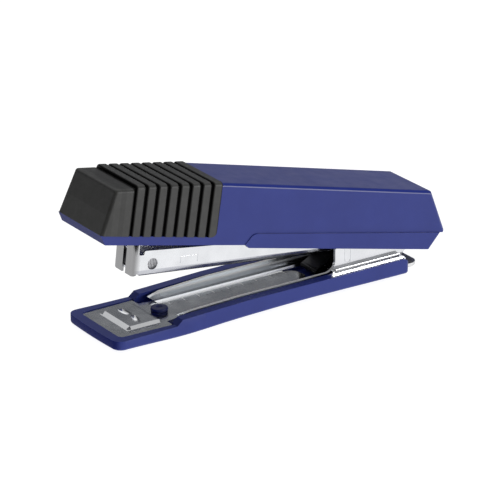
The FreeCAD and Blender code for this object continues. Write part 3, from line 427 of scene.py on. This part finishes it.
def paint_nodes():
    """Gives every CAD node its finished material."""
    made = {
        "cover_plastic": moulded_plastic("cover_plastic", (0.020, 0.032, 0.200), (0.024, 0.038, 0.225),
                                         0.30, 0.38, highlight_colour=EDGE_HIGHLIGHT_BLUE),
        "shoe_plastic": moulded_plastic("shoe_plastic", (0.019, 0.032, 0.200), (0.023, 0.038, 0.225),
                                        0.32, 0.42),
        "stud_plastic": moulded_plastic("stud_plastic", (0.012, 0.018, 0.085), (0.016, 0.022, 0.100),
                                        0.30, 0.40),
        "grip_rubber": grip_rubber(),
        "plate_steel": base_steel(),
        "tongue_steel": sheet_steel("tongue_steel", (0.62, 0.62, 0.62), (0.70, 0.70, 0.70), 0.42, 0.50),
        "bright_steel": magazine_steel(),
        # Painted shade: near-black, to stand for the deep shade under the magazine where the lift leaf
        # lies; every piece in this finish, the coil spring too, shares it.
        "spring_steel": sheet_steel("spring_steel", (0.030, 0.030, 0.032), (0.050, 0.050, 0.053),
                                    0.24, 0.34),
        # Painted shade: kept dark to stand for the shade inside the handle.
        "frame_steel": sheet_steel("frame_steel", (0.14, 0.14, 0.15), (0.20, 0.20, 0.21), 0.26, 0.38),
        "staple_wire": strip_wire(),
    }
    for row in frame["record"]["subparts"]:
        node = NODES[row["node"]]
        node.data.materials.clear()
        finish = OWN_FINISH.get(row["node"], row["material_slot"])
        node.data.materials.append(made[finish])
    return made


# ---- fine pieces --------------------------------------------------------------------------------
def helix(name, start, end, coil_radius, wire_radius, turns, steps=16, sides=8):
    """A round wire wound evenly about the line from start to end."""
    form = bmesh.new()
    axis = (end - start).normalized()
    across_axis = Vector((0, 1, 0))
    upward = axis.cross(across_axis)
    rise = (end - start).length / (2 * math.pi * turns)
    rings = []
    for index in range(turns * steps + 1):
        angle = 2 * math.pi * index / steps
        outward = across_axis * math.cos(angle) + upward * math.sin(angle)
        forward = upward * math.cos(angle) - across_axis * math.sin(angle)
        run = (forward * coil_radius + axis * rise).normalized()
        beside = run.cross(outward)
        middle = start + (end - start) * index / (turns * steps) + outward * coil_radius
        circle = []
        for side in range(sides):
            turn = 2 * math.pi * side / sides
            outset = (outward * math.cos(turn) + beside * math.sin(turn)) * wire_radius
            circle.append(form.verts.new(middle + outset))
        rings.append(circle)
    for near, far in zip(rings, rings[1:]):
        for side in range(sides):
            after = (side + 1) % sides
            form.faces.new((near[side], near[after], far[after], far[side]))
    form.faces.new(rings[0][::-1])
    form.faces.new(rings[-1])
    bmesh.ops.recalc_face_normals(form, faces=form.faces)
    mesh = bpy.data.meshes.new(name)
    form.to_mesh(mesh)
    form.free()
    for face in mesh.polygons:
        face.use_smooth = len(face.vertices) == 4
    coil = bpy.data.objects.new(name, mesh)
    bpy.context.scene.collection.objects.link(coil)
    return coil


COIL_OUTSIDE = 1.5 * MM
WIRE_RADIUS = 0.2 * MM
COIL_TURNS = 22


def wind_pusher_spring(materials):
    """A wound coil in place of the CAD's tube, carried with the magazine."""
    low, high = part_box("pusher_spring")
    middle = (Vector(low) + Vector(high)) / 2
    axis = Vector((math.cos(MAGAZINE_PITCH), 0, -math.sin(MAGAZINE_PITCH)))
    level = high[0] - low[0] - 2 * COIL_OUTSIDE * math.sin(MAGAZINE_PITCH)
    length = level / math.cos(MAGAZINE_PITCH)
    half = axis * (length / 2 - 1.2 * WIRE_RADIUS)
    coil = helix("coil_spring", middle - half, middle + half, COIL_OUTSIDE - 1.1 * WIRE_RADIUS,
                 WIRE_RADIUS, COIL_TURNS)
    coil.data.materials.append(materials["spring_steel"])
    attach(coil, "magazine")
    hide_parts("pusher_spring")
    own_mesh(coil)


def bending_leaf(node_name, piece_name, body):
    """A copy of a leaf spring in place of its CAD node, carried with a body."""
    node = NODES[node_name]
    leaf = bpy.data.objects.new(piece_name, node.data.copy())
    leaf.matrix_world = node.matrix_world
    bpy.context.scene.collection.objects.link(leaf)
    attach(leaf, body)
    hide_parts(node_name)
    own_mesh(leaf)


def bend_leaves():
    """The lift spring under the magazine and the leaf between the magazine and the handle."""
    bending_leaf("lift_spring", "lift_leaf", "base")
    # This copy keeps its rest shape; a real leaf here would open out when the handle is opened.
    bending_leaf("return_leaf", "handle_leaf", "handle")


# ---- floor, light and camera --------------------------------------------------------------------
FLOOR_REACH = 4.0


def make_floor():
    """A wide level sheet under the stapler, lit evenly from within like a light table."""
    mesh = bpy.data.meshes.new("floor")
    form = bmesh.new()
    quarters = ((-1, -1), (1, -1), (1, 1), (-1, 1))
    form.faces.new([form.verts.new((x * FLOOR_REACH, y * FLOOR_REACH, 0.0)) for x, y in quarters])
    form.to_mesh(mesh)
    form.free()
    floor = bpy.data.objects.new("floor", mesh)
    bpy.context.scene.collection.objects.link(floor)
    material, tree, shader = new_material("floor_paper")
    place = place_on(tree)
    tone = shaded(tree, noise(tree, place, 3.0), (0.80, 0.80, 0.80), (0.82, 0.82, 0.82))
    card = shaded(tree, noise(tree, place, 5.0), (0.27, 0.27, 0.27), (0.30, 0.30, 0.30))
    tree.links.new(card, shader.inputs["Base Color"])
    tree.links.new(tone, shader.inputs["Emission Color"])
    shader.inputs["Emission Strength"].default_value = 1.15
    shader.inputs["Roughness"].default_value = 0.9
    shader.inputs["Specular IOR Level"].default_value = 0.0
    mesh.materials.append(material)


def make_world():
    """A light tent: white high up, dark low down, and dimmer to the left and in front."""
    world = bpy.data.worlds.new("studio")
    bpy.context.scene.world = world
    world.use_nodes = True
    tree = world.node_tree
    tree.nodes.clear()
    background = tree.nodes.new("ShaderNodeBackground")
    output = tree.nodes.new("ShaderNodeOutputWorld")
    place = tree.nodes.new("ShaderNodeTexCoord").outputs["Generated"]
    split = tree.nodes.new("ShaderNodeSeparateXYZ")
    tree.links.new(place, split.inputs["Vector"])
    height = shaded(tree, split.outputs["Z"], (0.115, 0.12, 0.13), (1.0, 1.0, 1.0), 0.43, 0.60)
    tree.links.new(height, background.inputs["Color"])
    from_left = spread(tree, split.outputs["X"], 0.35, 1.12, -0.75, 0.1)
    from_front = spread(tree, split.outputs["Y"], 0.65, 1.0, -0.5, 0.2)
    tree.links.new(combined(tree, "MULTIPLY", from_left, from_front), background.inputs["Strength"])
    tree.links.new(background.outputs["Background"], output.inputs["Surface"])


def soft_light(name, position, target, size, power):
    """A large soft area light aimed at a point."""
    data = bpy.data.lights.new(name, "AREA")
    data.shape = "RECTANGLE"
    data.size, data.size_y = size
    data.energy = power
    lamp = bpy.data.objects.new(name, data)
    lamp.location = position
    lamp.rotation_euler = (target - position).to_track_quat("-Z", "Y").to_euler()
    bpy.context.scene.collection.objects.link(lamp)


def make_lights(centre):
    """One long, low strip light at the front right."""
    soft_light("front", centre + Vector((0.74, -1.2, 0.2)), centre, (1.1, 0.24), 8.0)


CAMERA_AZIMUTH = math.radians(-34.13)
CAMERA_ELEVATION = math.radians(22.04)
CAMERA_DISTANCE = 0.8938
CAMERA_LENS = 223.7
LOOK_AT = Vector((0.00300, 0.0, 0.01480))


def make_camera():
    """A long lens from the front left, a little above."""
    data = bpy.data.cameras.new("camera")
    data.lens = CAMERA_LENS
    data.sensor_width = 36.0
    data.clip_start = 0.01
    data.clip_end = 50.0
    camera = bpy.data.objects.new("camera", data)
    level = math.cos(CAMERA_ELEVATION)
    back = Vector((math.sin(CAMERA_AZIMUTH) * level, -math.cos(CAMERA_AZIMUTH) * level,
                   math.sin(CAMERA_ELEVATION)))
    camera.location = LOOK_AT + back * CAMERA_DISTANCE
    camera.rotation_euler = (-back).to_track_quat("-Z", "Y").to_euler()
    bpy.context.scene.collection.objects.link(camera)
    bpy.context.scene.camera = camera


materials = paint_nodes()
soften_edges()
wind_pusher_spring(materials)
bend_leaves()
make_floor()
make_world()
make_lights((cad_low + cad_high) / 2)
make_camera()
bpy.context.scene.view_settings.view_transform = "Standard"
